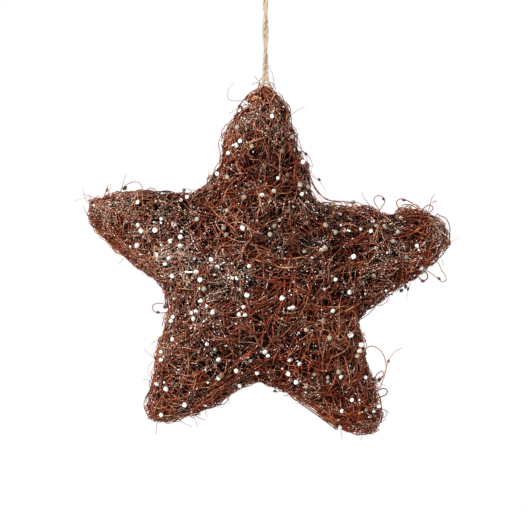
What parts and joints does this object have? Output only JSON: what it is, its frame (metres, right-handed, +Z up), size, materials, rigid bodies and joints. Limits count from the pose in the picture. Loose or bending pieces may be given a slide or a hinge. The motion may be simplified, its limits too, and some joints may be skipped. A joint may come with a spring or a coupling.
{
  "type": "star ornament",
  "caption": "Hanging star wound from fine brown vine, dusted with glitter and small pale flecks, on a doubled jute twine that ends in a loop.",
  "frame": {"origin": "inner top of the twine's loop, the point where it bears on its hook", "axes": "+Z up, +X to the right across the star seen from its front, +Y from the front through to the back"},
  "size_m": [0.2496, 0.072, 0.3353],
  "materials": {
    "wound_vine": "dry fine vine, dark brown to rust, matt with a faint sheen along each strand",
    "jute_twine": "loosely twisted natural jute, fuzzy and matt",
    "pale_flecks": "small round flecks of pale film, satin",
    "silver_glitter": "fine bright metal flakes"
  },
  "bodies": {
    "root": {"star_body": "wound_vine", "hanging_twine": "jute_twine"}
  },
  "joints": []
}
